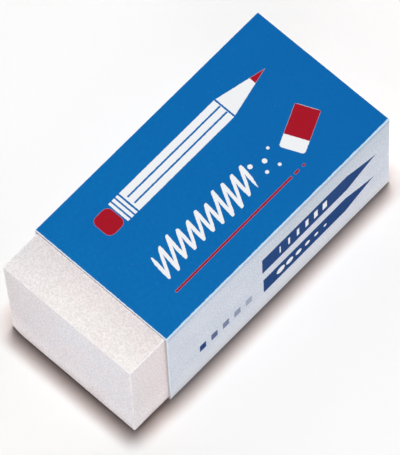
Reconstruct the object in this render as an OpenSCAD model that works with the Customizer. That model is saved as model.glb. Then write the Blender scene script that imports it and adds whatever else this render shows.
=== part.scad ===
// Block eraser in a sliding card sleeve.
//
// A plain rectangular block of soft white plastic sits in a printed card sleeve, which leaves one
// end of the block bare for rubbing. The sleeve is one strip of card: it is folded four times round
// the block and glued where its inner tab lies behind the far side panel. Both of its ends are
// open, so it slides along the block and comes off either way.
//
// +X runs along the block towards the covered end, so the bare end faces -X. The near side, without
// the glued lap, faces -Y. +Z is up. The origin is the middle of the whole object's underside.

/* [Block] */
// Length of the block
block_len = 41; // [28:0.5:60]
// Width of the block
block_w = 19; // [12:0.5:28]
// Height of the block
block_h = 15.5; // [10:0.5:20]
// Radius of the block's twelve edges
edge_r = 0.25; // [0.1:0.05:0.6]
// How far the worn corner reaches in along the floor
wear_in = 0.45; // [0.1:0.05:1.5]
// How far the worn corner reaches up the end of the block
wear_up = 1.6; // [0.2:0.1:3]

/* [Card sleeve] */
// Thickness of the card
card_t = 0.25; // [0.15:0.01:0.4]
// Inner radius of the card's folds
fold_in_r = 0.05; // [0.02:0.01:0.12]
// Length of block that the sleeve leaves bare
bare_len = 5.5; // [2:0.5:15]
// How far the sleeve stands past the covered end of the block
overhang = 0.3; // [0:0.1:2]
// Running gap between the block and the card
slide_gap = 0.05; // [0.02:0.01:0.15]
// Height of the glued tab above the bottom panel
tab_h = 8.5; // [4:0.5:9]
// Height of the side panel's cut edge above the tab's fold
cut_edge_lift = 0.3; // [0.1:0.05:1]

/* [Hidden] */
$fn = 48;

// Card folds and the sleeve's outer size
fold_out_r = fold_in_r + card_t;
sleeve_len = block_len - bare_len + overhang;
sleeve_w = block_w + 2 * slide_gap + 3 * card_t;
sleeve_h = block_h + 2 * slide_gap + 2 * card_t;

// Where the two pieces lie
end_x = (block_len + overhang) / 2;
sleeve_x = end_x - sleeve_len;
tab_face_y = sleeve_w / 2 - card_t;
tab_fold_y = tab_face_y - fold_out_r;
block_mid = [block_len / 2 - end_x, -card_t / 2, sleeve_h / 2];

// Margin by which a cutting shape stands clear of what it cuts
cut = 1;

// Rectangle with four round corners, centred on the origin
module rounded_rect(w, h, r) {
  square([w - 2 * r, h], center = true);
  square([w, h - 2 * r], center = true);
  for (x = [-1, 1], y = [-1, 1])
    translate([x * (w / 2 - r), y * (h / 2 - r)])
      circle(r);
}

// A flat section drawn across Y and Z, extruded along X from the origin
module along_x(length) {
  rotate([90, 0, 90])
    linear_extrude(length)
      children();
}

// Closed loop of card, as wide and high as stated, standing on the floor
module card_loop(w, h) {
  translate([0, h / 2])
    difference() {
      rounded_rect(w, h, fold_out_r);
      rounded_rect(w - 2 * card_t, h - 2 * card_t, fold_in_r);
    }
}

// Block with every edge rounded: three rounded outlines crossed with each other
module rounded_block() {
  intersection() {
    translate([-block_len / 2, 0, 0])
      along_x(block_len)
        rounded_rect(block_w, block_h, edge_r);
    rotate([90, 0, 0])
      linear_extrude(block_w, center = true)
        rounded_rect(block_len, block_h, edge_r);
    linear_extrude(block_h, center = true)
      rounded_rect(block_len, block_w, edge_r);
  }
}

// Slanting slice that wear has taken off the bare end's lowest corner on the far side
module worn_slice() {
  slope = wear_up / wear_in;
  translate([-block_len / 2, block_w / 2, -block_h / 2])
    rotate([90, 0, -45])
      linear_extrude(2 * block_w, center = true)
        polygon([
          [-cut, -cut],
          [wear_in + cut / slope, -cut],
          [-cut, wear_up + cut * slope]
        ]);
}

// The two panels and the two side walls, short of the corner where the tab folds up
module wrap_section() {
  difference() {
    card_loop(sleeve_w, sleeve_h);
    translate([tab_fold_y, -cut])
      square([fold_out_r + card_t + cut, cut + fold_out_r + cut_edge_lift]);
  }
}

// The tab: a fold at the floor and an upright strip against the far side panel
module tab_section() {
  intersection() {
    translate([-card_t / 2, 0])
      card_loop(sleeve_w - card_t, sleeve_h);
    translate([tab_fold_y, 0])
      square([fold_out_r, card_t + tab_h]);
  }
}

module eraser_block() {
  color([0.92, 0.91, 0.90])
    translate(block_mid)
      difference() {
        rounded_block();
        worn_slice();
      }
}

module card_sleeve() {
  color([0.02, 0.41, 0.69])
    translate([sleeve_x, 0, 0])
      along_x(sleeve_len) {
        wrap_section();
        tab_section();
      }
}

eraser_block();
card_sleeve();
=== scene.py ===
# %% [markdown]
# # A block eraser in its card sleeve
#
# This lesson dresses a small block eraser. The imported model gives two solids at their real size: a
# block of soft white plastic, and the printed card sleeve that slides along it. Both are plain there,
# so each gets a finer mesh and a finish of its own. Every length is in metres, +X runs along the
# block towards its covered end, and the eraser lies on the surface z = 0.

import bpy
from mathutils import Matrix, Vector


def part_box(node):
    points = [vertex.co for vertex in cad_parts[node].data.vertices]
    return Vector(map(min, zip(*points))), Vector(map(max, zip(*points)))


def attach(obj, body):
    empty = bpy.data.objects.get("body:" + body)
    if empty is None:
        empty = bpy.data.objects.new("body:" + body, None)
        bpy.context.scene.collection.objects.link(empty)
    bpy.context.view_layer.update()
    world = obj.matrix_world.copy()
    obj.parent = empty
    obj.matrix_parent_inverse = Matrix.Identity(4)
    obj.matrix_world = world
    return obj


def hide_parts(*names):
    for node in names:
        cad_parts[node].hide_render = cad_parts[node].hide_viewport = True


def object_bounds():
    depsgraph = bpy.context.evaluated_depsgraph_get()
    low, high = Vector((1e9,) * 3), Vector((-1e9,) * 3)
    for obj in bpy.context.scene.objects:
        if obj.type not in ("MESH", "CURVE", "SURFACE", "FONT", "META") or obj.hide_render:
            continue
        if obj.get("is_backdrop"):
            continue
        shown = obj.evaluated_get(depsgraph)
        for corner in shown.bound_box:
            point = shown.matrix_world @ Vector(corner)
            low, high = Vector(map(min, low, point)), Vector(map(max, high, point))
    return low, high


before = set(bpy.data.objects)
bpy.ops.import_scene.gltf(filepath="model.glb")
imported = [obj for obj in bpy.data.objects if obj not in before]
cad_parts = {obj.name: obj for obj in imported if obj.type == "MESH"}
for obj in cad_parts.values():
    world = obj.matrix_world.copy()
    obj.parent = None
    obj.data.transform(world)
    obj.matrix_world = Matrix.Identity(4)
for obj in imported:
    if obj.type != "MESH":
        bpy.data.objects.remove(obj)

# %% Sizes that everything else follows
import math

import bpy
from mathutils import Matrix, Vector, noise

MM = 0.001
CARD = 0.25 * MM

cad_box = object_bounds()
block_low, block_high = [Vector(corner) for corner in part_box("eraser_block")]
sleeve_low, sleeve_high = [Vector(corner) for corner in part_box("card_sleeve")]
block_size = block_high - block_low
sleeve_size = sleeve_high - sleeve_low
print("block, mm: ", [round(side / MM, 2) for side in block_size])
print("sleeve, mm:", [round(side / MM, 2) for side in sleeve_size])

# %% [markdown]
# ## The camera
#
# A long lens stands well back, so that the eraser's long edges stay nearly parallel, as they do in
# a catalogue picture of something small. The camera looks down from over the bare end and the near
# side. Its direction is given as an azimuth and an elevation, and a small roll tilts the frame.

# %% Place the camera
LENS_MM = 500.0
CAMERA_AZIMUTH = math.radians(-44.2)
CAMERA_ELEVATION = math.radians(65.0)
CAMERA_ROLL = math.radians(-3.3)
CAMERA_DISTANCE = 0.696
AIM_RIGHT = 0.38 * MM
AIM_UP = -0.63 * MM


def camera_axes(azimuth, elevation, roll):
    """The camera's right, up and backward directions."""
    back = Vector((
        math.sin(azimuth) * math.cos(elevation),
        -math.cos(azimuth) * math.cos(elevation),
        math.sin(elevation),
    ))
    level = Vector((math.cos(azimuth), math.sin(azimuth), 0.0))
    steep = back.cross(level)
    right = level * math.cos(roll) + steep * math.sin(roll)
    return right, back.cross(right), back


right, up, back = camera_axes(CAMERA_AZIMUTH, CAMERA_ELEVATION, CAMERA_ROLL)
middle = Vector((0.0, 0.0, sleeve_high.z / 2))
camera = bpy.data.objects.new("Camera", bpy.data.cameras.new("Camera"))
bpy.context.scene.collection.objects.link(camera)
camera.data.lens = LENS_MM
camera.data.clip_start = 0.01
camera.data.clip_end = 20.0
turn = Matrix((right, up, back)).transposed().to_4x4()
place = middle + right * AIM_RIGHT + up * AIM_UP + back * CAMERA_DISTANCE
camera.matrix_world = Matrix.Translation(place) @ turn
bpy.context.scene.camera = camera
print("camera at, mm:", [round(c / MM) for c in camera.location])

# %% [markdown]
# ## Building node trees
#
# Materials and geometry are both made of node trees. A few helpers keep the trees readable: one adds
# a node and fills or links its inputs by name, some do sums on numbers, vectors and colours, and one
# starts a group with named inputs and outputs.


# %% Add a node, or a sum
def fill(tree, socket, value):
    """Sets an input to a value, or links it where the value is another node's output."""
    if isinstance(value, bpy.types.NodeSocket):
        tree.links.new(value, socket)
    else:
        socket.default_value = value


def add(tree, kind, inputs=None, **settings):
    """Adds a node of a kind, with its settings and inputs."""
    made = tree.nodes.new(kind)
    for name, value in settings.items():
        setattr(made, name, value)
    for name, value in (inputs or {}).items():
        fill(tree, made.inputs[name], value)
    return made


def calc(tree, operation, *values, clamp=False):
    """One sum on numbers, and its result."""
    made = add(tree, "ShaderNodeMath", operation=operation, use_clamp=clamp)
    for socket, value in zip(made.inputs, values):
        fill(tree, socket, value)
    return made.outputs[0]


def times(tree, first, second):
    """One number times another."""
    return calc(tree, "MULTIPLY", first, second)


def minus(tree, first, second):
    """The first number less the second."""
    return calc(tree, "SUBTRACT", first, second)


print("sums:", calc.__name__, times.__name__, minus.__name__)


# %% Vectors, ramps and blends
def vector_calc(tree, operation, *values, result="Vector"):
    """One sum on vectors, and its result."""
    made = add(tree, "ShaderNodeVectorMath", operation=operation)
    for socket, value in zip(made.inputs, values):
        fill(tree, socket, value)
    return made.outputs[result]


def split(tree, vector):
    """The x, y and z outputs of a vector."""
    return add(tree, "ShaderNodeSeparateXYZ", {"Vector": vector}).outputs


def join(tree, x, y, z=0.0):
    """A vector from three numbers."""
    return add(tree, "ShaderNodeCombineXYZ", {"X": x, "Y": y, "Z": z}).outputs[0]


def ramp(tree, value, start, end, low=0.0, high=1.0, smooth=True):
    """A value that goes from low at start to high at end, and stays level beyond them."""
    inputs = {"Value": value, "From Min": start, "From Max": end, "To Min": low, "To Max": high}
    style = "SMOOTHSTEP" if smooth else "LINEAR"
    return add(tree, "ShaderNodeMapRange", inputs, interpolation_type=style).outputs["Result"]


def blend(tree, share, first, second):
    """Mixes two colours: a share of 0 gives the first, and 1 the second."""
    made = add(tree, "ShaderNodeMix", data_type="RGBA")
    for number, value in ((0, share), (6, first), (7, second)):
        fill(tree, made.inputs[number], value)
    return made.outputs[2]


print("more sums:", vector_calc.__name__, ramp.__name__, blend.__name__)

# %% Node groups
SOCKETS = {
    "number": "NodeSocketFloat",
    "vector": "NodeSocketVector",
    "colour": "NodeSocketColor",
    "geometry": "NodeSocketGeometry",
    "material": "NodeSocketMaterial",
}


def new_group(name, inputs, outputs, kind="ShaderNodeTree"):
    """An empty node group. inputs and outputs are {name: kind} or {name: (kind, usual value)}."""
    tree = bpy.data.node_groups.new(name, kind)
    for in_out, sockets in (("INPUT", inputs), ("OUTPUT", outputs)):
        for label, about in sockets.items():
            word, usual = about if isinstance(about, tuple) else (about, None)
            made = tree.interface.new_socket(name=label, in_out=in_out, socket_type=SOCKETS[word])
            if usual is not None:
                made.default_value = usual
    given = tree.nodes.new("NodeGroupInput").outputs
    result = tree.nodes.new("NodeGroupOutput").inputs
    return tree, given, result


def use(tree, group, inputs):
    """Places a group in a tree and gives its first output."""
    kind = "GeometryNodeGroup" if group.bl_idname == "GeometryNodeTree" else "ShaderNodeGroup"
    return add(tree, kind, inputs, node_tree=group).outputs[0]


print("socket kinds:", ", ".join(SOCKETS))

# %% [markdown]
# ## Light and floor
#
# Small goods are often shown under one soft lamp overhead, on a floor that throws light back up at
# the sides. The lamp here is a sun with a wide disc. It stands slightly behind the eraser, so a
# narrow soft shadow falls on the two sides that face the camera. Its height and the disc's width set
# how far that shadow reaches. Lamp and surroundings together bring a level surface to about 1, where
# a colour renders as it is written.

# %% The lamp overhead
LAMP_SHARE = 0.76
TILT_ALONG = math.radians(5.1)
TILT_ACROSS = math.radians(3.8)
LAMP_DISC = math.radians(8.2)

lamp_from = Vector((math.tan(TILT_ALONG), math.tan(TILT_ACROSS), 1.0)).normalized()
lamp = bpy.data.objects.new("Lamp overhead", bpy.data.lights.new("Lamp overhead", "SUN"))
bpy.context.scene.collection.objects.link(lamp)
lamp.data.angle = LAMP_DISC
lamp.data.energy = LAMP_SHARE * math.pi / lamp_from.z
lamp.data.color = (1.0, 0.99, 0.985)
lamp.rotation_euler = lamp_from.to_track_quat("Z", "Y").to_euler()
for word, tilt in (("end", TILT_ALONG), ("near side", TILT_ACROSS)):
    shadow_reach = sleeve_size.z * math.tan(tilt + LAMP_DISC / 2)
    print("shadow reaches past the", word, "by, mm:", round(shadow_reach / MM, 2))

# %% [markdown]
# The surroundings are bright near the horizon and dim overhead. Light from low down reaches upright
# faces far more than level ones, so the white sides stay nearly as bright as the top without any
# lamp in front. What the camera and the reflections meet is a plain white backdrop.

# %% The surroundings
HORIZON_STRENGTH = 2.2
OVERHEAD_STRENGTH = 0.02
BAND_TOP = 0.6
BAND_TINT = (0.97, 0.965, 1.0, 1.0)
BACKDROP_WHITE = 0.973
WHITE = (1.0, 1.0, 1.0, 1.0)

studio = bpy.data.worlds.new("Studio")
bpy.context.scene.world = studio
studio.use_nodes = True
tree = studio.node_tree
tree.nodes.clear()
skyward = split(tree, add(tree, "ShaderNodeTexCoord").outputs["Generated"])["Z"]
glow = ramp(tree, skyward, 0.0, BAND_TOP, HORIZON_STRENGTH, OVERHEAD_STRENGTH)
rays = add(tree, "ShaderNodeLightPath").outputs
seen = calc(tree, "ADD", rays["Is Camera Ray"], rays["Is Glossy Ray"])
seen = calc(tree, "ADD", seen, rays["Is Transmission Ray"], clamp=True)
band = add(tree, "ShaderNodeBackground", {"Color": BAND_TINT, "Strength": glow}).outputs[0]
backdrop = add(tree, "ShaderNodeBackground", {"Color": WHITE, "Strength": BACKDROP_WHITE}).outputs[0]
either = add(tree, "ShaderNodeMixShader", {0: seen, 1: band, 2: backdrop})
add(tree, "ShaderNodeOutputWorld", {"Surface": either.outputs[0]})
bpy.context.scene.view_settings.view_transform = "Standard"
print("surroundings from", HORIZON_STRENGTH, "at the horizon to", OVERHEAD_STRENGTH, "overhead")

# %% [markdown]
# The floor is a wide sheet of matt white. An ambient occlusion node finds how much of the sky a point
# can't see. Close to the eraser it paints a warm shade into the paper, and closer still a dark painted
# shadow, which stands for the dark line of contact that a small bright object leaves on paper. The
# eraser's white sides also throw light back on the floor round it, most of all at the bare end, so the
# paper there is a touch darker and the floor looks even.

# %% The floor
FLOOR_HALF = 2.0
CONTACT_REACH = 2.7 * MM
EVEN_REACH = 22 * MM
BARE_END_FROM = 8 * MM
BARE_END_TO = -12 * MM
SKY_AT_CONTACT = 0.5
SHADE_POWER = 0.8
PAINTED_WARM_BELOW = 0.8
PAPER_FAR_OUT = (0.982, 0.982, 0.975, 1.0)
PAPER_FAR_SIDE = (0.862, 0.862, 0.855, 1.0)
PAPER_NEAR_SIDE = (0.908, 0.903, 0.888, 1.0)
PAPER_BARE_END = (0.852, 0.850, 0.840, 1.0)
PAPER_PAINTED_SHADOW = (0.40, 0.355, 0.335, 1.0)
PAPER_PAINTED_WARM_SHADE = (1.0, 0.912, 0.885, 1.0)

floor_mesh = bpy.data.meshes.new("Floor")
corners = [(-1, -1, 0), (1, -1, 0), (1, 1, 0), (-1, 1, 0)]
floor_mesh.from_pydata([Vector(corner) * FLOOR_HALF for corner in corners], [], [(0, 1, 2, 3)])
floor = bpy.data.objects.new("Floor", floor_mesh)
bpy.context.scene.collection.objects.link(floor)

paper = bpy.data.materials.new("Floor paper")
paper.use_nodes = True
tree = paper.node_tree
tree.nodes.clear()
# Painted shadow: near the eraser the paper is warmed, then darkened, by how little sky it sees.
sky = add(tree, "ShaderNodeAmbientOcclusion", {"Distance": CONTACT_REACH}, samples=16).outputs["AO"]
shade = calc(tree, "POWER", ramp(tree, sky, SKY_AT_CONTACT, 1.0, smooth=False), SHADE_POWER)
painted_warm_share = ramp(tree, sky, 1.0, PAINTED_WARM_BELOW, smooth=False)
place = add(tree, "ShaderNodeTexCoord").outputs["Object"]
beside = vector_calc(tree, "SUBTRACT", vector_calc(tree, "ABSOLUTE", place), cad_box[1])
beside = vector_calc(tree, "MAXIMUM", beside, (0.0, 0.0, 0.0))
outwards = ramp(tree, vector_calc(tree, "LENGTH", beside, result="Value"), 0.0, EVEN_REACH)
x, y, z = split(tree, place)
on_near_side = ramp(tree, y, 0.0, cad_box[0][1])
by_bare_end = ramp(tree, x, BARE_END_FROM, BARE_END_TO)
paper_close = blend(tree, on_near_side, PAPER_FAR_SIDE, PAPER_NEAR_SIDE)
paper_close = blend(tree, by_bare_end, paper_close, PAPER_BARE_END)
paper_even = blend(tree, outwards, paper_close, PAPER_FAR_OUT)
paper_painted_dark = blend(tree, shade, PAPER_PAINTED_SHADOW, paper_even)
paper_colour = vector_calc(tree, "MULTIPLY", paper_painted_dark, blend(tree, painted_warm_share, WHITE, PAPER_PAINTED_WARM_SHADE))
matt = add(tree, "ShaderNodeBsdfDiffuse", {"Color": paper_colour})
add(tree, "ShaderNodeOutputMaterial", {"Surface": matt.outputs[0]})
floor_mesh.materials.append(paper)
floor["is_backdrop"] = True
print("floor, m:", [round(side, 2) for side in floor.dimensions])

# %% [markdown]
# ## The block
#
# The block is soft vinyl, cast in a slab and cut to size. Its faces are not quite flat, its edges are
# barely rounded, and one lower corner of the bare end is rubbed down. The shape is a fine grid laid
# over a box. Each point of the grid is pulled to a core that is smaller by the edge's radius, and
# pushed out again by that radius, which rounds all edges and corners at once. Small dips then take
# the machine-made look away. They only go inwards, so the card sleeve still slides.

# %% Grid lines
EDGE_RADIUS = 0.14 * MM
EDGE_STEPS = 3
FINE_STEP = 0.3 * MM
FINE_REACH = 2.1 * MM
COARSE_STEP = 0.62 * MM


def stations(marks, longest):
    """Places from mark to mark. Each stretch is cut into equal steps, none above its longest."""
    places = [marks[0]]
    for start, end, step in zip(marks, marks[1:], longest):
        count = max(1, math.ceil(abs(end - start) / step - 1e-6))
        places += [start + (end - start) * k / count for k in range(1, count + 1)]
    return places


def block_lines(low, high):
    """Grid lines along one side: closest in the rounded edges, close in the worn zone near them."""
    turns = [math.radians(45) * k / EDGE_STEPS for k in range(EDGE_STEPS, 0, -1)]
    inset = [EDGE_RADIUS * (1 - math.tan(turn)) for turn in turns]
    marks = [low + EDGE_RADIUS, low + FINE_REACH, high - FINE_REACH, high - EDGE_RADIUS]
    between = stations(marks, [FINE_STEP, COARSE_STEP, FINE_STEP])
    return [low + d for d in inset] + between + [high - d for d in reversed(inset)]


block_grid = [block_lines(block_low[axis], block_high[axis]) for axis in range(3)]
print("grid lines along x, y, z:", [len(lines) for lines in block_grid])

# %% The rounded, dipped and worn shape
DIP_DEPTH = 0.035 * MM
DIP_SIZE = 6.0 * MM
NICK_DEPTH = 0.10 * MM
NICK_SIZE = 1.3 * MM
NICK_PLACES = Vector((7.0, 3.0, 5.0))
NICK_RARITY = 0.15
WEAR_IN = 0.45 * MM
WEAR_UP = 1.6 * MM
WEAR_SOFTNESS = 0.08 * MM
WEAR_BUMPS = 0.06 * MM
WEAR_BUMP_SIZE = 0.9 * MM
RUB_IN = 0.27 * MM
RUB_REACH = 2.6 * MM
RUB_UNEVENNESS = 0.3
RUB_PATCH = 1.7 * MM

worn_corner = Vector((block_low.x, block_high.y, block_low.z))
wear_slope = Vector((1 / WEAR_IN, -1 / WEAR_IN, 1 / WEAR_UP))
wear_normal = wear_slope.normalized()


def upright_rub(place):
    """How far the far upright edge of the bare end is rubbed in: nothing at the top, most below."""
    away = (place.x - block_low.x) + (block_high.y - place.y)
    nearness = max(0.0, 1.0 - away / RUB_REACH) ** 2
    up_left = min(1.0, max(0.0, (place.z - block_low.z) / block_size.z))
    uneven = 1.0 + RUB_UNEVENNESS * noise.noise(place / RUB_PATCH)
    return RUB_IN * (1.0 - up_left ** 2) * nearness * uneven


def block_place(point):
    """Where a point of the box grid lies on the finished block."""
    core = Vector([
        min(max(c, low + EDGE_RADIUS), high - EDGE_RADIUS)
        for c, low, high in zip(point, block_low, block_high)
    ])
    outward = (point - core).normalized()
    place = core + outward * EDGE_RADIUS
    dip = DIP_DEPTH * (0.5 + 0.5 * noise.noise(place / DIP_SIZE))
    on_edge = 1.0 - max(abs(c) for c in outward)
    chip = max(0.0, noise.noise(place / NICK_SIZE + NICK_PLACES) - NICK_RARITY)
    place -= outward * (dip + NICK_DEPTH * chip * min(1.0, on_edge * 5.0))
    place += Vector((1.0, -1.0, 0.0)).normalized() * upright_rub(place)
    bumps = WEAR_BUMPS * noise.noise(place / WEAR_BUMP_SIZE)
    inside = (wear_slope.dot(place - worn_corner) - 1.0) / wear_slope.length + bumps
    kept = 0.5 * (inside + math.sqrt(inside * inside + WEAR_SOFTNESS ** 2))
    return place + wear_normal * (kept - inside)


print("worn corner, mm:", [round(c / MM, 2) for c in worn_corner])

# %% Build the block
import bmesh


def boxed_mesh(name, grids, shape):
    """A closed mesh over the six faces of a box grid, each point put where shape says."""
    bm = bmesh.new()
    last = [len(lines) - 1 for lines in grids]
    made = {}

    def corner(index):
        if index not in made:
            made[index] = bm.verts.new(shape(Vector([grids[a][index[a]] for a in range(3)])))
        return made[index]

    for axis in range(3):
        first, second = (axis + 1) % 3, (axis + 2) % 3
        for side in (0, last[axis]):
            for i in range(last[first]):
                for j in range(last[second]):
                    ring = []
                    for di, dj in ((0, 0), (1, 0), (1, 1), (0, 1)):
                        index = [0, 0, 0]
                        index[axis], index[first], index[second] = side, i + di, j + dj
                        ring.append(corner(tuple(index)))
                    bm.faces.new(ring if side else ring[::-1])
    mesh = bpy.data.meshes.new(name)
    bm.to_mesh(mesh)
    bm.free()
    return mesh


def show(name, mesh):
    """A new object that holds a mesh, in the scene."""
    made = bpy.data.objects.new(name, mesh)
    bpy.context.scene.collection.objects.link(made)
    return made


def measure(piece):
    """Prints how many faces a piece has, and its size."""
    sides = [round(side / MM, 2) for side in piece.dimensions]
    print(piece.name, "has", len(piece.data.polygons), "faces and is, mm:", sides)


block_mesh = boxed_mesh("Vinyl block", block_grid, block_place)
block_mesh.shade_smooth()
block = show("vinyl_block", block_mesh)
measure(block)

# %% [markdown]
# ## Effects that both finishes share
#
# Vinyl and card both have a fine grain and patches that are a little lighter or darker. The card's
# creases and cut ends are rubbed, and the same edge mask gives the vinyl's edges a painted highlight.
# Each effect is a shader group with named inputs, built once. Each material places it with its own
# sizes. Lengths inside the materials are in millimetres, which are easier to read.


# %% Fine grain
PITS_FROM, PITS_FULL = 0.36, 0.26
TONE_DARK, TONE_LIGHT = 0.32, 0.68
WIDE_GRAIN = 6.0
WIDE_SHARE = 0.6


def noise_value(tree, place, size, detail=2.0, roughness=0.5):
    """Soft noise from 0 to 1 whose patches are about one size across."""
    scale = calc(tree, "DIVIDE", 1.0, size)
    inputs = {"Vector": place, "Scale": scale, "Detail": detail, "Roughness": roughness}
    return add(tree, "ShaderNodeTexNoise", inputs).outputs[0]


grain, given, result = new_group(
    "Fine grain",
    {"Place": "vector", "Grain size": ("number", 0.2)},
    {"Height": "number", "Pits": "number", "Tone": "number"},
)
fine = noise_value(grain, given["Place"], given["Grain size"], 3.0, 0.6)
wide = noise_value(grain, given["Place"], times(grain, given["Grain size"], WIDE_GRAIN), 1.0)
fill(grain, result["Height"], calc(grain, "MULTIPLY_ADD", wide, WIDE_SHARE, fine))
fill(grain, result["Pits"], ramp(grain, fine, PITS_FROM, PITS_FULL))
fill(grain, result["Tone"], ramp(grain, fine, TONE_DARK, TONE_LIGHT))
print(grain.name, "nodes:", len(grain.nodes))

# %% Patches of colour
CLOUD_FROM, CLOUD_FULL = 0.35, 0.68

patches, given, result = new_group(
    "Colour patches",
    {
        "Place": "vector",
        "Colour": "colour",
        "Patch colour": "colour",
        "Patch size": ("number", 4.0),
        "Strength": ("number", 0.5),
    },
    {"Colour": "colour"},
)
cloud = noise_value(patches, given["Place"], given["Patch size"])
cloud = ramp(patches, cloud, CLOUD_FROM, CLOUD_FULL)
share = times(patches, cloud, given["Strength"])
fill(patches, result["Colour"], blend(patches, share, given["Colour"], given["Patch colour"]))
print(patches.name, "nodes:", len(patches.nodes))

# %% Rubbed edges, also used for painted edge highlights
BREAK_UP = 4.0
RUBBED_THROUGH = 0.4

rub_and_highlight, given, result = new_group(
    "Rubbed edge and highlight",
    {
        "Place": "vector",
        "Distance": "number",
        "Reach": ("number", 0.2),
        "Patch size": ("number", 0.6),
        "Patchiness": ("number", 0.5),
    },
    {"Mask": "number"},
)
broken = noise_value(rub_and_highlight, given["Place"], given["Patch size"], 3.0, 0.6)
broken = times(rub_and_highlight, minus(rub_and_highlight, broken, 0.5), BREAK_UP)
broken = calc(rub_and_highlight, "MULTIPLY_ADD", broken, given["Patchiness"], 1.0)
reach = times(rub_and_highlight, given["Reach"], calc(rub_and_highlight, "MAXIMUM", broken, 0.02))
near = calc(rub_and_highlight, "DIVIDE", given["Distance"], reach)
fill(rub_and_highlight, result["Mask"], ramp(rub_and_highlight, near, 1.0, RUBBED_THROUGH))
print(rub_and_highlight.name, "nodes:", len(rub_and_highlight.nodes))

# %% [markdown]
# ## White vinyl
#
# Eraser vinyl is an off-white plastic with a dull skin. The top is ivory, and greyer towards the far
# side. The cut end runs from a pinkish grey to lilac, and the sides are faintly pink. Near the
# sleeve's mouth the vinyl takes a rosy painted reflection of the sleeve, lilac on the top and lighter
# on the sides. Low down it is painted paler, as painted bounce light from the floor, and its edges
# carry a thin painted highlight. All of it is speckled. The distance to the nearest edge needs no
# texture: on a box, the second smallest of the three distances to its faces is the distance to an
# edge.

# %% The vinyl's colours
TOP_IVORY = (0.87, 0.84, 0.815, 1.0)
TOP_GREY = (0.76, 0.755, 0.755, 1.0)
END_LILAC = (0.825, 0.815, 0.845, 1.0)
END_PINK = (0.75, 0.70, 0.705, 1.0)
SIDE_PINK = (0.82, 0.77, 0.768, 1.0)
MOUTH_REFLECTION_ON_TOP = (0.885, 0.845, 0.87, 1.0)
MOUTH_REFLECTION_ON_SIDE = (1.05, 0.99, 0.98, 1.0)
SKIN_WARM = (0.85, 0.77, 0.765, 1.0)
SKIN_PAINTED_LIGHT = (0.96, 0.925, 0.93, 1.0)
GRIME = (0.55, 0.52, 0.52, 1.0)
print("vinyl from", TOP_IVORY[:3], "on the top to", END_LILAC[:3], "on the bare end")


# %% A new material, and two tools for its colours
def new_material(name, specular):
    """A material with a Principled shader, the tree it sits in, and the shader's inputs."""
    made = bpy.data.materials.new(name)
    made.use_nodes = True
    tree = made.node_tree
    tree.nodes.clear()
    shader = add(tree, "ShaderNodeBsdfPrincipled", {"Specular IOR Level": specular})
    add(tree, "ShaderNodeOutputMaterial", {"Surface": shader.outputs[0]})
    return made, tree, shader.inputs


def scaled(tree, value, factor):
    """A place or a colour times a number."""
    made = add(tree, "ShaderNodeVectorMath", {"Scale": factor}, operation="SCALE")
    fill(tree, made.inputs[0], value)
    return made.outputs[0]


def speckled(tree, colour, tone, contrast):
    """A colour made a little lighter and darker by a grain's tone from 0 to 1."""
    factor = calc(tree, "MULTIPLY_ADD", minus(tree, tone, 0.5), contrast, 1.0)
    return scaled(tree, colour, factor)


vinyl, tree, vinyl_inputs = new_material("White vinyl", 0.25)
block_mesh.materials.append(vinyl)
print("material:", vinyl.name)

# %% Where on the block a point lies
FACE_FROM = 0.20
FACE_FULL = 0.08

place = scaled(tree, add(tree, "ShaderNodeTexCoord").outputs["Object"], 1 / MM)
block_middle = (block_low + block_high) / 2
offset = vector_calc(tree, "ABSOLUTE", vector_calc(tree, "SUBTRACT", place, block_middle / MM))
x, y, z = split(tree, vector_calc(tree, "SUBTRACT", block_size / 2 / MM, offset))
lowest = calc(tree, "MINIMUM", calc(tree, "MINIMUM", x, y), z)
highest = calc(tree, "MAXIMUM", calc(tree, "MAXIMUM", x, y), z)
total = calc(tree, "ADD", calc(tree, "ADD", x, y), z)
to_edge = minus(tree, minus(tree, total, lowest), highest)

x, y, z = split(tree, place)
low, high = block_low / MM, block_high / MM
mouth = sleeve_low.x / MM
on_top = ramp(tree, z, high.z - FACE_FROM, high.z - FACE_FULL)
bare_end = ramp(tree, x, low.x + FACE_FROM, low.x + FACE_FULL)
covered_end = ramp(tree, x, high.x - FACE_FROM, high.x - FACE_FULL)
on_end = calc(tree, "MAXIMUM", bare_end, covered_end)
print("bare end at x =", round(low.x, 2), "mm, sleeve's mouth at x =", round(mouth, 2), "mm")

# %% Colour, face by face
GREY_FROM = 2.0
GREY_PAST_EDGE = 1.0
PINK_FROM = -1.0
VINYL_BOUNCE_HEIGHT = 6.5
REFLECTION_START = 0.9
REFLECTION_FULL = 1.0
REFLECTION_GONE = 9.0

far_top = ramp(tree, y, GREY_FROM, high.y + GREY_PAST_EDGE, smooth=False)
far_end = ramp(tree, y, PINK_FROM, high.y, smooth=False)
tone = blend(tree, on_end, SIDE_PINK, blend(tree, far_end, END_LILAC, END_PINK))
# Painted bounce light: the sides are painted paler low down.
painted_bounce_low = ramp(tree, z, VINYL_BOUNCE_HEIGHT, low.z)
tone = blend(tree, painted_bounce_low, tone, SKIN_PAINTED_LIGHT)
tone = blend(tree, on_top, tone, blend(tree, far_top, TOP_IVORY, TOP_GREY))
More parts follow.
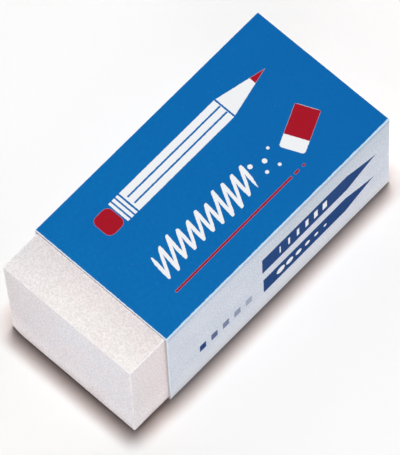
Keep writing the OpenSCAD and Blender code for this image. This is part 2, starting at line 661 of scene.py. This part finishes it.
# Painted reflection of the sleeve: rosy near the mouth, gone under the sleeve.
by_mouth_reflection = ramp(tree, x, low.x + REFLECTION_START, mouth, smooth=False)
under_sleeve = ramp(tree, x, mouth + REFLECTION_GONE, mouth + REFLECTION_FULL)
by_mouth_reflection = times(tree, by_mouth_reflection, under_sleeve)
reflection_tinted = vector_calc(tree, "MULTIPLY", tone, blend(tree, on_top, MOUTH_REFLECTION_ON_SIDE, MOUTH_REFLECTION_ON_TOP))
tone = blend(tree, by_mouth_reflection, tone, reflection_tinted)
tone = use(tree, patches, {
    "Place": place, "Colour": tone, "Patch colour": SKIN_WARM, "Patch size": 2.4, "Strength": 0.45,
})
# The painted reflection by the mouth ends this far under the sleeve.
print("the stain by the mouth is gone", REFLECTION_GONE, "mm under the sleeve")

# %% Grain, specks, painted edge highlights and gloss
GRAIN_SIZE = 0.2
GRAIN_DRAWN_DOWN = (1.0, 1.0, 0.6)
GRAIN_ON_SIDES = 0.26
GRAIN_ON_TOP = 0.22
SPECK_SIZE = 0.35
SPECKS_FROM, SPECKS_FULL = 0.74, 0.80
SPECK_STRENGTH = 0.4
NEAR_SIDE_FROM, NEAR_SIDE_FULL = 1.0, 0.4
HIGHLIGHT_ON_FAR_SIDE = 0.6
ROUGHNESS_LOW = 0.54
ROUGHNESS_SPREAD = 0.16

drawn_down = vector_calc(tree, "MULTIPLY", place, GRAIN_DRAWN_DOWN)
grain_inputs = {"Place": drawn_down, "Grain size": GRAIN_SIZE}
skin_grain = add(tree, "ShaderNodeGroup", grain_inputs, node_tree=grain).outputs
contrast = calc(tree, "MULTIPLY_ADD", on_top, GRAIN_ON_TOP - GRAIN_ON_SIDES, GRAIN_ON_SIDES)
tone = speckled(tree, tone, skin_grain["Tone"], contrast)
specks = ramp(tree, noise_value(tree, place, SPECK_SIZE, 1.0), SPECKS_FROM, SPECKS_FULL)
tone = blend(tree, times(tree, specks, SPECK_STRENGTH), tone, GRIME)
# Painted highlight: the vinyl's edges are painted paler, most along the near side.
painted_edge_highlight = use(tree, rub_and_highlight, {
    "Place": place, "Distance": to_edge, "Reach": 0.16, "Patch size": 0.9, "Patchiness": 0.7,
})
highlight_by_side = ramp(tree, y, low.y + NEAR_SIDE_FROM, low.y + NEAR_SIDE_FULL, HIGHLIGHT_ON_FAR_SIDE, 1.0)
painted_edge_highlight = times(tree, painted_edge_highlight, highlight_by_side)
fill(tree, vinyl_inputs["Base Color"], blend(tree, painted_edge_highlight, tone, SKIN_PAINTED_LIGHT))
dullness = calc(tree, "MULTIPLY_ADD", noise_value(tree, place, 1.4), ROUGHNESS_SPREAD, ROUGHNESS_LOW)
fill(tree, vinyl_inputs["Roughness"], dullness)
bump_inputs = {"Strength": 0.35, "Distance": 0.04 * MM, "Height": skin_grain["Height"]}
fill(tree, vinyl_inputs["Normal"], add(tree, "ShaderNodeBump", bump_inputs).outputs[0])
print("vinyl nodes:", len(tree.nodes))

# %% [markdown]
# ## The sleeve
#
# The sleeve is one strip of printed card, creased four times and glued to itself on the far side.
# The strip runs from a narrow glue tab over the underside, the near side, the top and the far side,
# whose cut edge stops just above the floor. It is made here as in a box works: first the flat
# blank, then the folds. A printed sheet keeps its artwork in the flat, so the blank's own places stay
# on the mesh as an attribute, and the print is laid out on them.

# %% Creases of the flat blank
FOLD_RADIUS = 0.27 * MM
CUT_EDGE_HEIGHT = 0.60 * MM
TAB_STRAIGHT = 8.45 * MM
GLUE_GAP = 0.01 * MM
LAP_STEP = 0.225 * MM

width, height = sleeve_size.y, sleeve_size.z
arc = (FOLD_RADIUS - CARD / 2) * math.pi / 2
crease_near_low = -width / 2 + FOLD_RADIUS
crease_near_high = crease_near_low - arc - (height - 2 * FOLD_RADIUS)
crease_far_high = crease_near_high - arc - (width - LAP_STEP - 2 * FOLD_RADIUS)
far_cut_edge = crease_far_high - arc - (height - FOLD_RADIUS - CUT_EDGE_HEIGHT)
crease_tab = width / 2 - CARD - GLUE_GAP - FOLD_RADIUS
tab_cut_edge = crease_tab + arc + TAB_STRAIGHT
tab_top = FOLD_RADIUS + TAB_STRAIGHT
print("blank, mm:", round(sleeve_size.x / MM, 2), "x", round((tab_cut_edge - far_cut_edge) / MM, 2))

# %% The flat blank
ARC_STEPS = 8
PANEL_STEP = 0.75 * MM
LENGTH_STEP = 0.60 * MM

across = [
    far_cut_edge, crease_far_high - arc, crease_far_high, crease_near_high - arc, crease_near_high,
    crease_near_low - arc, crease_near_low, crease_tab, crease_tab + arc, tab_cut_edge,
]
steps = [PANEL_STEP if n % 2 == 0 else arc / ARC_STEPS for n in range(len(across) - 1)]
blank_grid = [
    stations([sleeve_low.x, sleeve_high.x], [LENGTH_STEP]),
    stations(across, steps),
    [0.0, CARD],
]
blank = show("sleeve_blank", boxed_mesh("Sleeve blank", blank_grid, lambda point: point))
measure(blank)

# %% [markdown]
# ## Folding in Geometry Nodes
#
# One small group folds everything beyond a crease. Points just past it are rolled round the crease's
# arc, and points further on are turned by a quarter and stand straight. The distance is measured
# along the middle of the card, where it neither stretches nor shrinks. The glue tab is folded first,
# then the far crease, the near crease of the top, and the near crease of the underside, so that each
# fold carries the finished ones along. The top panel is cut nearly a card's thickness narrower than
# the underside, so the far panel lies on the block at the top and steps out over the glue tab further
# down. Last come things no drawing shows: towards the open ends the panels sag until they nearly
# touch the block, and the cut ends waver.


# %% Fold at a crease
def take(tree, selection, geometry, place):
    """Moves the selected points to new places."""
    inputs = {"Geometry": geometry, "Selection": selection, "Position": place}
    return add(tree, "GeometryNodeSetPosition", inputs).outputs[0]


tree, given, result = new_group(
    "Fold at crease",
    {
        "Geometry": "geometry",
        "Crease": "number",
        "Way": ("number", 1.0),
        "Fold radius": ("number", FOLD_RADIUS),
        "Card thickness": ("number", CARD),
    },
    {"Geometry": "geometry"},
    "GeometryNodeTree",
)
x, y, z = split(tree, add(tree, "GeometryNodeInputPosition").outputs[0])
beyond = times(tree, minus(tree, given["Crease"], y), given["Way"])
middle_radius = calc(tree, "MULTIPLY_ADD", given["Card thickness"], -0.5, given["Fold radius"])
bend = calc(tree, "MAXIMUM", calc(tree, "DIVIDE", beyond, middle_radius), 0.0)
bend = calc(tree, "MINIMUM", bend, math.pi / 2)
sine, cosine = calc(tree, "SINE", bend), calc(tree, "COSINE", bend)
radius = minus(tree, given["Fold radius"], z)
straight = minus(tree, beyond, times(tree, bend, middle_radius))
sideways = calc(tree, "MULTIPLY_ADD", straight, cosine, times(tree, radius, sine))
upwards = calc(tree, "MULTIPLY_ADD", straight, sine, given["Fold radius"])
upwards = minus(tree, upwards, times(tree, radius, cosine))
new_y = minus(tree, given["Crease"], times(tree, sideways, given["Way"]))
is_beyond = add(tree, "FunctionNodeCompare", {0: beyond, 1: 0.0}, operation="GREATER_THAN").outputs[0]
fill(tree, result["Geometry"], take(tree, is_beyond, given["Geometry"], join(tree, x, new_y, upwards)))
fold = tree
print("fold group nodes:", len(fold.nodes))

# %% Store the flat places and fold four times
tree, given, result = new_group(
    "Folded sleeve",
    {
        "Geometry": "geometry",
        "Width": ("number", width),
        "Height": ("number", height),
        "Length": ("number", sleeve_size.x),
        "Middle X": ("number", (sleeve_low.x + sleeve_high.x) / 2),
        "Panel sag": ("number", 0.035 * MM),
        "Ripple": ("number", 0.02 * MM),
        "End waver": ("number", 0.06 * MM),
        "Tab top": ("number", tab_top),
        "Lap step": ("number", LAP_STEP),
        "Step height": ("number", 3.2 * MM),
        "Seed": ("number", 4.0),
        "Card": "material",
    },
    {"Geometry": "geometry"},
    "GeometryNodeTree",
)
flat_place = add(tree, "GeometryNodeInputPosition").outputs[0]
kept = add(tree, "GeometryNodeStoreNamedAttribute", data_type="FLOAT_VECTOR", domain="POINT")
fill(tree, kept.inputs["Geometry"], given["Geometry"])
fill(tree, kept.inputs["Name"], "blank")
fill(tree, kept.inputs["Value"], flat_place)
card = use(tree, fold, {"Geometry": kept.outputs[0], "Crease": crease_tab, "Way": -1.0})
for crease in (crease_far_high, crease_near_high, crease_near_low):
    card = use(tree, fold, {"Geometry": card, "Crease": crease})
folded_sleeve = tree
print("sleeve inputs:", [item.name for item in tree.interface.items_tree if item.in_out == "INPUT"])

# %% How far the panels sag
SAG_EVERYWHERE = 0.2
RIPPLE_SCALE = 150.0
SIDE_SHARPNESS = 8.0


def four_way_noise(tree, scale, detail, seed):
    """Soft noise at each point, and another pattern for each seed."""
    inputs = {"Scale": scale, "Detail": detail, "W": seed}
    return add(tree, "ShaderNodeTexNoise", inputs, noise_dimensions="4D").outputs[0]


x, y, z = split(tree, add(tree, "GeometryNodeInputPosition").outputs[0])
along = minus(tree, x, given["Middle X"])
along = calc(tree, "DIVIDE", along, times(tree, given["Length"], 0.5))
side = calc(tree, "DIVIDE", y, times(tree, given["Width"], 0.5))
rise = calc(tree, "DIVIDE", z, given["Height"])
crown_side = minus(tree, 1.0, times(tree, side, side))
crown_rise = times(tree, rise, minus(tree, 1.0, rise))
open_end = calc(tree, "POWER", calc(tree, "ABSOLUTE", along), 2.0)
sag = calc(tree, "MULTIPLY_ADD", open_end, SAG_EVERYWHERE - 1.0, -SAG_EVERYWHERE)
sag = times(tree, given["Panel sag"], sag)
ripple = four_way_noise(tree, RIPPLE_SCALE, 1.0, given["Seed"])
sag = calc(tree, "MULTIPLY_ADD", ripple, given["Ripple"], sag)
is_side = calc(tree, "POWER", calc(tree, "ABSOLUTE", side), SIDE_SHARPNESS)
is_top = calc(tree, "POWER", rise, SIDE_SHARPNESS)
out_y = times(tree, times(tree, crown_rise, 4.0), is_side)
out_y = times(tree, out_y, calc(tree, "SIGN", side))
out_z = times(tree, crown_side, is_top)
print("share of the sag that is left halfway along:", SAG_EVERYWHERE)

# %% The step over the tab, the wavering ends, and the finished sleeve
WAVER_SCALE = 110.0
SEED_OF_WAVER = 9.0

flat_y = add(tree, "GeometryNodeInputNamedAttribute", {"Name": "blank"}, data_type="FLOAT_VECTOR")
flat_y = split(tree, flat_y.outputs[0])["Y"]
is_far_panel = calc(tree, "LESS_THAN", flat_y, crease_far_high)
step_top = calc(tree, "ADD", given["Tab top"], given["Step height"])
step_out = times(tree, ramp(tree, z, step_top, given["Tab top"]), given["Lap step"])
step_out = times(tree, step_out, is_far_panel)
waver = four_way_noise(tree, WAVER_SCALE, 2.0, calc(tree, "ADD", given["Seed"], SEED_OF_WAVER))
waver = times(tree, minus(tree, waver, 0.5), given["End waver"])
out_x = times(tree, waver, calc(tree, "POWER", open_end, 4.0))
out_y = calc(tree, "MULTIPLY_ADD", out_y, sag, step_out)
shift = join(tree, out_x, out_y, times(tree, out_z, sag))
moved = add(tree, "GeometryNodeSetPosition", {"Geometry": card, "Offset": shift}).outputs[0]
real = add(tree, "GeometryNodeRealizeInstances", {"Geometry": moved}).outputs[0]
covered = add(tree, "GeometryNodeSetMaterial", {"Geometry": real, "Material": given["Card"]})
fill(tree, result["Geometry"], covered.outputs[0])
print("sleeve tree nodes:", len(folded_sleeve.nodes))

# %% [markdown]
# ## The print
#
# The top and the underside are a field of blue, and the two sides stay white. The blue stops just
# short of the near crease, where it would crack. The artwork is plain studio stock: a pencil, a
# scribble that breaks into crumbs, the small eraser that rubs it out, and a ruled line. The near side
# has two pointed navy bars with graded marks, and a row of tone squares. Everything is drawn as masks
# from distances in the flat: how far is a point from a bar, a zigzag's stroke or a pointed bar?


# %% Tools for printed shapes
INK_BLUR = 0.035


def ink_edge(tree, distance):
    """1 inside a shape and 0 outside, with the slight blur of ink on card."""
    return ramp(tree, distance, INK_BLUR, -INK_BLUR)


def largest(tree, values):
    """The largest of several values."""
    found = values[0]
    for value in values[1:]:
        found = calc(tree, "MAXIMUM", found, value)
    return found


def without(tree, mask, hole):
    """A mask with another one taken out of it."""
    return times(tree, mask, minus(tree, 1.0, hole))


def shape_group(name, *sizes):
    """Starts a group that turns a place and some sizes into a mask."""
    sockets = {"Place": "vector"}
    sockets.update({size: "number" for size in sizes})
    return new_group(name, sockets, {"Mask": "number"})


print("ink blurs over", 2 * INK_BLUR, "mm")

# %% A printed bar
tree, given, result = shape_group(
    "Printed bar", "Centre U", "Centre V", "Half length", "Half width", "Corner", "Turn"
)
centre = join(tree, given["Centre U"], given["Centre V"])
turn_back = times(tree, given["Turn"], -1.0)
turned = add(tree, "ShaderNodeVectorRotate", {
    "Vector": given["Place"], "Center": centre, "Angle": turn_back,
}, rotation_type="Z_AXIS").outputs[0]
x, y, z = split(tree, vector_calc(tree, "ABSOLUTE", vector_calc(tree, "SUBTRACT", turned, centre)))
straight_x = minus(tree, given["Half length"], given["Corner"])
straight_y = minus(tree, given["Half width"], given["Corner"])
past_x = minus(tree, x, straight_x)
past_y = minus(tree, y, straight_y)
outer = join(tree, calc(tree, "MAXIMUM", past_x, 0.0), calc(tree, "MAXIMUM", past_y, 0.0))
outer = vector_calc(tree, "LENGTH", outer, result="Value")
inner = calc(tree, "MINIMUM", calc(tree, "MAXIMUM", past_x, past_y), 0.0)
distance = minus(tree, calc(tree, "ADD", outer, inner), given["Corner"])
fill(tree, result["Mask"], ink_edge(tree, distance))
printed_bar = tree
print(printed_bar.name, "nodes:", len(printed_bar.nodes))

# %% A printed zigzag
tree, given, result = shape_group(
    "Printed zigzag", "Start U", "End U", "Middle V", "Half height", "Period", "Half width", "Slant"
)
x, y, z = split(tree, given["Place"])
y = minus(tree, y, given["Middle V"])
run = minus(tree, x, given["Start U"])
run = minus(tree, run, times(tree, y, given["Slant"]))
swell = ramp(tree, noise_value(tree, given["Place"], 2.6, 0.0), 0.3, 0.7, 0.75, 1.15)
tall = times(tree, given["Half height"], swell)
phase = calc(tree, "FRACT", calc(tree, "DIVIDE", run, given["Period"]))
folded = calc(tree, "ABSOLUTE", calc(tree, "MULTIPLY_ADD", phase, 2.0, -1.0))
half_period = times(tree, given["Period"], 0.5)
point = join(tree, times(tree, folded, half_period), calc(tree, "ADD", y, tall))
stroke = join(tree, half_period, times(tree, tall, 2.0))
reached = vector_calc(tree, "DOT_PRODUCT", point, stroke, result="Value")
whole = vector_calc(tree, "DOT_PRODUCT", stroke, stroke, result="Value")
along = calc(tree, "DIVIDE", reached, whole, clamp=True)
nearest = vector_calc(tree, "MULTIPLY", stroke, join(tree, along, along))
off = vector_calc(tree, "DISTANCE", point, nearest, result="Value")
off = minus(tree, off, given["Half width"])
length = minus(tree, given["End U"], given["Start U"])
ends = largest(tree, [times(tree, run, -1.0), minus(tree, run, length)])
fill(tree, result["Mask"], ink_edge(tree, calc(tree, "MAXIMUM", off, ends)))
printed_zigzag = tree
print(printed_zigzag.name, "nodes:", len(printed_zigzag.nodes))

# %% A pointed bar
tree, given, result = shape_group(
    "Pointed bar", "Start U", "Taper U", "Tip U", "Start V", "Tip V", "Half width", "Power"
)
x, y, z = split(tree, given["Place"])
from_start = minus(tree, x, given["Start U"])
length = minus(tree, given["Tip U"], given["Start U"])
along = calc(tree, "DIVIDE", from_start, length)
lean = minus(tree, given["Tip V"], given["Start V"])
centre_line = calc(tree, "MULTIPLY_ADD", along, lean, given["Start V"])
to_tip = minus(tree, given["Tip U"], x)
taper = minus(tree, given["Tip U"], given["Taper U"])
left = calc(tree, "DIVIDE", to_tip, taper, clamp=True)
half = times(tree, calc(tree, "POWER", left, given["Power"]), given["Half width"])
off = calc(tree, "ABSOLUTE", minus(tree, y, centre_line))
off = minus(tree, off, half)
ends = [times(tree, from_start, -1.0), times(tree, to_tip, -1.0)]
fill(tree, result["Mask"], ink_edge(tree, largest(tree, [off] + ends)))
pointed_bar = tree
print(pointed_bar.name, "nodes:", len(pointed_bar.nodes))

# %% Where the panels lie in the flat
NEAR_MARGIN = 0.12
FAR_WRAP = 0.05
CUT_MARGIN = 0.06
UNDERSIDE_MARGIN = 0.1

flat_top = (-(crease_near_high - arc) - FOLD_RADIUS) / MM
flat_near = (-(crease_near_low - arc) - FOLD_RADIUS) / MM
panel_length = sleeve_size.x / MM
top_width = (width - LAP_STEP) / MM
print("near side starts at", round(flat_near, 2), "and the top at", round(flat_top, 2), "mm across")

# %% [markdown]
# The whole artwork is one group, because it is one drawing. Its input is a place in the flat, in
# millimetres: U runs along the sleeve from the cut edge over the bare end, and V runs across it. The
# outputs say how much blue, white, red and navy ink lies there. Loops go through short lists of
# sizes, so that a mark is moved by changing one number. The places are shifted a hair by noise
# first, which gives every edge the slight bleed of ink.

# %% Start the artwork
BLEED = 0.09
BLEED_SCALE = 4.0

artwork, given, result = new_group(
    "Sleeve artwork",
    {"Place": "vector"},
    {"Blue": "number", "White": "number", "Red": "number", "Navy": "number"},
)
bleed_inputs = {"Vector": given["Place"], "Scale": BLEED_SCALE, "Detail": 2.0}
bleed = add(artwork, "ShaderNodeTexNoise", bleed_inputs).outputs[1]
bleed = vector_calc(artwork, "SUBTRACT", bleed, (0.5, 0.5, 0.5))
bleed = vector_calc(artwork, "MULTIPLY", bleed, (BLEED, BLEED, 0.0))
art_place = vector_calc(artwork, "ADD", given["Place"], bleed)


def bar(u, v, half_length, half_width, corner=0.05, turn=0.0):
    """A printed bar or, with a large corner, a rounded bar or a dot."""
    return use(artwork, printed_bar, {
        "Place": art_place, "Centre U": u, "Centre V": v, "Half length": half_length,
        "Half width": half_width, "Corner": corner, "Turn": math.radians(turn),
    })


def pointed(start, taper, tip, start_v, tip_v, half_width, power):
    """A bar that narrows to a point."""
    return use(artwork, pointed_bar, {
        "Place": art_place, "Start U": start, "Taper U": taper, "Tip U": tip, "Start V": start_v,
        "Tip V": tip_v, "Half width": half_width, "Power": power,
    })


print("edges bleed by up to", BLEED / 2, "mm")

# %% The two blue fields
underside_low, underside_high = -crease_tab / MM, -crease_near_low / MM
field_length = panel_length / 2 + 0.5
field_middle = CUT_MARGIN + field_length
top_middle = flat_top + (NEAR_MARGIN + top_width + FAR_WRAP) / 2
top_half = (top_width + FAR_WRAP - NEAR_MARGIN) / 2
underside_middle = (underside_low + underside_high) / 2
underside_half = (underside_high - underside_low) / 2 - UNDERSIDE_MARGIN
blue_field = largest(artwork, [
    bar(field_middle, top_middle, field_length, top_half, 0.02),
    bar(field_middle, underside_middle, field_length, underside_half, 0.02),
])
print("blue on the top is", round(2 * top_half, 2), "mm wide")

# %% The pencil
PENCIL_V = flat_top + 14.3

pencil_end = bar(6.1, PENCIL_V, 1.3, 1.45, 0.8)
ferrule = bar(8.35, PENCIL_V, 0.75, 1.5)
lines = [bar(u, PENCIL_V, 0.11, 1.6) for u in (8.05, 8.65)]
barrel = pointed(9.35, 24.6, 31.2, PENCIL_V, PENCIL_V, 1.5, 1.0)
lines += [bar(17.1, PENCIL_V + v, 7.45, 0.12) for v in (-0.52, 0.52)]
lines.append(bar(24.7, PENCIL_V, 0.12, 1.7))
lead = without(artwork, barrel, bar(18.0, PENCIL_V, 11.2, 2.0))
pencil_white = without(artwork, largest(artwork, [ferrule, barrel]), largest(artwork, lines))
print("the pencil has", len(lines), "lines in it")

# %% The scribble, its crumbs, the small eraser and the ruled line
SCRIBBLE_V = flat_top + 6.5
CRUMBS = (
    (21.3, 0.9, 0.28), (22.1, -0.9, 0.22), (22.9, 0.2, 0.30), (23.7, -1.3, 0.20), (24.3, 1.0, 0.18),
)
RULED_V = flat_top + 3.2
RULED = ((14.2, 9.3), (24.3, 0.35), (25.4, 0.18))

scribble = use(artwork, printed_zigzag, {
    "Place": art_place, "Start U": 5.5, "End U": 20.6, "Middle V": SCRIBBLE_V, "Half height": 1.65,
    "Period": 1.45, "Half width": 0.21, "Slant": 0.35,
})
crumbs = [bar(u, SCRIBBLE_V + v, r, r, r) for u, v, r in CRUMBS]
small_eraser = bar(28.4, SCRIBBLE_V, 2.8, 1.5, 0.35, 24.0)
small_sleeve = bar(29.15, SCRIBBLE_V + 0.33, 1.95, 1.5, 0.1, 24.0)
ruled_line = largest(artwork, [bar(u, RULED_V, half, 0.13) for u, half in RULED])
white_top = largest(artwork, [pencil_white, scribble, small_eraser] + crumbs)
red = largest(artwork, [pencil_end, lead, small_sleeve, ruled_line])
print("crumbs:", len(crumbs))

# %% The near side: pointed bars, graded marks and tone squares
UPPER_V = flat_near + 10.6
LOWER_V = flat_near + 5.4
LOWER_TIP_V = flat_near + 5.5
SQUARES_V = flat_near + 5.5
MARK_START = 18.0
MARK_STEP = 1.45
DOT_SIZES = (0.66, 0.57, 0.48, 0.40, 0.32, 0.24)
SQUARE_TONES = (1.0, 0.85, 0.7, 0.55, 0.42)

pointed_bars = largest(artwork, [
    pointed(15.1, 28.9, 33.7, UPPER_V, UPPER_V, 1.70, 1.15),
    pointed(15.2, 28.6, 33.4, LOWER_V, LOWER_TIP_V, 1.60, 1.15),
])
marks = []
for n, r in enumerate(DOT_SIZES):
    mark_u = MARK_START + MARK_STEP * n
    marks.append(bar(mark_u, UPPER_V, 0.10 + 0.05 * n, 0.78, 0.03))
    marks.append(bar(mark_u, LOWER_V, r, r, r))
graded = largest(artwork, marks)
navy = [without(artwork, pointed_bars, graded)]
for n, strength in enumerate(SQUARE_TONES):
    square = bar(5.4 + 1.85 * n, SQUARES_V, 0.5, 0.72, 0.06)
    navy.append(times(artwork, square, strength))
print("graded marks:", len(marks), "tone squares:", len(SQUARE_TONES))

# %% How much of each ink
blue_left = without(artwork, without(artwork, blue_field, white_top), red)
fill(artwork, result["Blue"], blue_left)
fill(artwork, result["White"], largest(artwork, [without(artwork, white_top, red), graded]))
fill(artwork, result["Red"], red)
fill(artwork, result["Navy"], largest(artwork, navy))
print("artwork nodes:", len(artwork.nodes))

# %% [markdown]
# ## Printed card
#
# The card is a bright, faintly blue white with a fine grain of fibres, and a little greyer below the
# top's crease, more so towards the back. Low down it is painted paler, as painted bounce light from
# the floor. Ink lies on its outer face only. It is slightly deeper towards the back, lets specks of
# card through, and rubs off along the creases and the cut ends. Just below the top's crease the white
# is tinted a little towards the blue. The cut edges show the greyer board inside, and the inner face
# is bare board.

# %% Colours of the card and its inks
CARD_WHITE = (0.705, 0.75, 0.82, 1.0)
CARD_SHADE = (0.66, 0.705, 0.79, 1.0)
CARD_GREYER = (0.60, 0.66, 0.725, 1.0)
CLEAN_WHITE = (0.86, 0.885, 0.90, 1.0)
BOARD = (0.78, 0.775, 0.76, 1.0)
CARD_PAINTED_BOUNCE = (0.95, 0.96, 0.97, 1.0)
RUBBED_CUT = (0.84, 0.93, 1.0, 1.0)
RUBBED_FOLD = (0.60, 0.85, 0.97, 1.0)
RAW_EDGE = (0.64, 0.65, 0.68, 1.0)
BLUE = (0.0, 0.156, 0.450, 1.0)
BLUE_AT_BACK = (0.0, 0.132, 0.418, 1.0)
BLUE_DEEP = (0.0, 0.122, 0.395, 1.0)
RED = (0.37, 0.005, 0.017, 1.0)
NAVY = (0.003, 0.050, 0.200, 1.0)

printed_card, tree, card_inputs = new_material("Printed card", 0.04)
print("material:", printed_card.name)

# %% Places in the flat, and distances to the creases and cut ends
BACK_SPARED = 4.0

blank_place = add(tree, "ShaderNodeAttribute", attribute_name="blank").outputs["Vector"]
x, y, depth = split(tree, scaled(tree, blank_place, 1 / MM))
u = minus(tree, x, sleeve_low.x / MM)
v = times(tree, y, -1.0)
flat = join(tree, u, v)


def away_from(crease):
    """How far a place in the flat is from the middle of a crease's arc, in millimetres."""
    return calc(tree, "ABSOLUTE", minus(tree, y, (crease - arc / 2) / MM))


to_top_fold = away_from(crease_near_high)
to_low_folds = calc(tree, "MINIMUM", away_from(crease_near_low), away_from(crease_tab + arc))
to_fold = calc(tree, "MINIMUM", to_top_fold, to_low_folds)
to_back = times(tree, minus(tree, panel_length, u), BACK_SPARED)
to_cut = calc(tree, "MINIMUM", u, to_back)
print("the back end is rubbed over 1 /", BACK_SPARED, "of the front's reach")

# %% Where the ink is rubbed off or missing
BLUE_TINT_REACH = 1.6
BLUE_TINT_STRENGTH = 0.25
FIBRES_DRAWN = (1.0, 0.55, 1.0)
PITS_WITHOUT_INK = 0.06
INK_RUBBED_OFF = 0.9
INK_DEPTH = 0.03

fold_rub = use(tree, rub_and_highlight, {
    "Place": flat, "Distance": to_fold, "Reach": 0.09, "Patch size": 0.7, "Patchiness": 0.4,
})
cut_rub = use(tree, rub_and_highlight, {
    "Place": flat, "Distance": to_cut, "Reach": 0.15, "Patch size": 0.5, "Patchiness": 0.35,
})
rub = calc(tree, "MAXIMUM", fold_rub, cut_rub)
# Just below the top's crease the white is tinted towards the blue.
blue_tint_below_crease = calc(tree, "POWER", ramp(tree, to_top_fold, BLUE_TINT_REACH, 0.1), 2.0)
blue_tint_below_crease = times(tree, blue_tint_below_crease, BLUE_TINT_STRENGTH)
grain_inputs = {"Place": vector_calc(tree, "MULTIPLY", flat, FIBRES_DRAWN), "Grain size": GRAIN_SIZE}
card_grain = add(tree, "ShaderNodeGroup", grain_inputs, node_tree=grain).outputs
missed = times(tree, card_grain["Pits"], PITS_WITHOUT_INK)
unrubbed = calc(tree, "MULTIPLY_ADD", rub, -INK_RUBBED_OFF, 1.0)
ink_kept = times(tree, minus(tree, 1.0, missed), unrubbed)
outer_face = ramp(tree, depth, INK_DEPTH, INK_DEPTH / 2)
ink_kept = times(tree, ink_kept, outer_face)
print("blue is smeared over", BLUE_TINT_REACH, "mm below the top's crease")

# %% The card's colour, with painted bounce light low down
GREYER_BELOW = (7.0, 2.0)
GREYER_ALONG = (8.0, 22.0)
GREYER_STRENGTH = 0.85
CARD_GRAIN = 0.22
CARD_BOUNCE_HEIGHT = 5.0 * MM
RUB_STRENGTH = 0.9

card_tone = use(tree, patches, {
    "Place": flat, "Colour": CARD_WHITE, "Patch colour": CARD_SHADE, "Patch size": 3.5,
    "Strength": 0.8,
})
# Greyer below the top's crease, more so towards the back.
greyer_below_crease = times(tree, ramp(tree, to_top_fold, *GREYER_BELOW), ramp(tree, u, *GREYER_ALONG))
card_tone = blend(tree, times(tree, greyer_below_crease, GREYER_STRENGTH), card_tone, CARD_GREYER)
card_tone = speckled(tree, card_tone, card_grain["Tone"], CARD_GRAIN)
# Painted bounce light: the card is painted paler towards the floor.
z = split(tree, add(tree, "ShaderNodeTexCoord").outputs["Object"])["Z"]
painted_bounce_low = ramp(tree, z, CARD_BOUNCE_HEIGHT, 0.0, 0.0, 0.5)
card_tone = blend(tree, painted_bounce_low, card_tone, CARD_PAINTED_BOUNCE)
along = ramp(tree, u, 0.0, panel_length, smooth=False)
blue_tone = blend(tree, along, BLUE, BLUE_AT_BACK)
for size, strength in ((7.0, 0.25), (0.5, 0.4)):
    blue_tone = use(tree, patches, {
        "Place": flat, "Colour": blue_tone, "Patch colour": BLUE_DEEP, "Patch size": size,
        "Strength": strength,
    })
card_tone = blend(tree, blue_tint_below_crease, card_tone, blue_tone)
card_tone = blend(tree, times(tree, cut_rub, RUB_STRENGTH), card_tone, RUBBED_CUT)
card_tone = blend(tree, times(tree, fold_rub, RUB_STRENGTH), card_tone, RUBBED_FOLD)
inner_face = ramp(tree, depth, CARD / MM - INK_DEPTH, CARD / MM - INK_DEPTH / 2)
colour = blend(tree, outer_face, blend(tree, inner_face, RAW_EDGE, BOARD), card_tone)
print("the card is", CARD / MM, "mm thick, with board inside")

# %% Ink, gloss and fibres
ROUGHNESS_BARE = 0.68
ROUGHNESS_OF_INK = -0.12
RUB_HEIGHT = 0.6

art = add(tree, "ShaderNodeGroup", {"Place": flat}, node_tree=artwork).outputs
for ink, tone in (("Blue", blue_tone), ("White", CLEAN_WHITE), ("Red", RED), ("Navy", NAVY)):
    colour = blend(tree, times(tree, art[ink], ink_kept), colour, tone)
fill(tree, card_inputs["Base Color"], colour)
inked = largest(tree, [art[ink] for ink in ("Blue", "Red", "Navy")])
inked = times(tree, inked, ink_kept)
card_roughness = calc(tree, "MULTIPLY_ADD", inked, ROUGHNESS_OF_INK, ROUGHNESS_BARE)
fill(tree, card_inputs["Roughness"], card_roughness)
relief = calc(tree, "MULTIPLY_ADD", rub, RUB_HEIGHT, card_grain["Height"])
bump_inputs = {"Strength": 0.3, "Distance": 0.02 * MM, "Height": relief}
fill(tree, card_inputs["Normal"], add(tree, "ShaderNodeBump", bump_inputs).outputs[0])
print("card nodes:", len(tree.nodes))


# %% Fold the sleeve
def made_real(source, name, tree, values):
    """Runs a Geometry Nodes tree on an object, and keeps the result as a plain mesh."""
    modifier = source.modifiers.new(tree.name, "NODES")
    modifier.node_group = tree
    for item in tree.interface.items_tree:
        if item.item_type == "SOCKET" and item.in_out == "INPUT" and item.name in values:
            modifier[item.identifier] = values[item.name]
    source.update_tag()
    ready = source.evaluated_get(bpy.context.evaluated_depsgraph_get())
    mesh = bpy.data.meshes.new_from_object(ready)
    bpy.data.objects.remove(source)
    return show(name, mesh)


sleeve = made_real(blank, "card_sleeve_printed", folded_sleeve, {"Card": printed_card})
sleeve.data.shade_smooth()
sleeve.data.set_sharp_from_angle(angle=math.radians(40))
measure(sleeve)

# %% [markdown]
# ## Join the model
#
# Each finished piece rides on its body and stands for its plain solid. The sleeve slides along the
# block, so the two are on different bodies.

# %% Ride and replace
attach(block, "block")
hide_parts("eraser_block")
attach(sleeve, "sleeve")
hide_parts("card_sleeve")
print("finished pieces:", block.name, "and", sleeve.name)

# %% Compare the sizes and finish
visual_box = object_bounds()
for name, box in (("cad", cad_box), ("visual", visual_box)):
    print(name, "box, mm:", [[round(c / MM, 2) for c in corner] for corner in box])
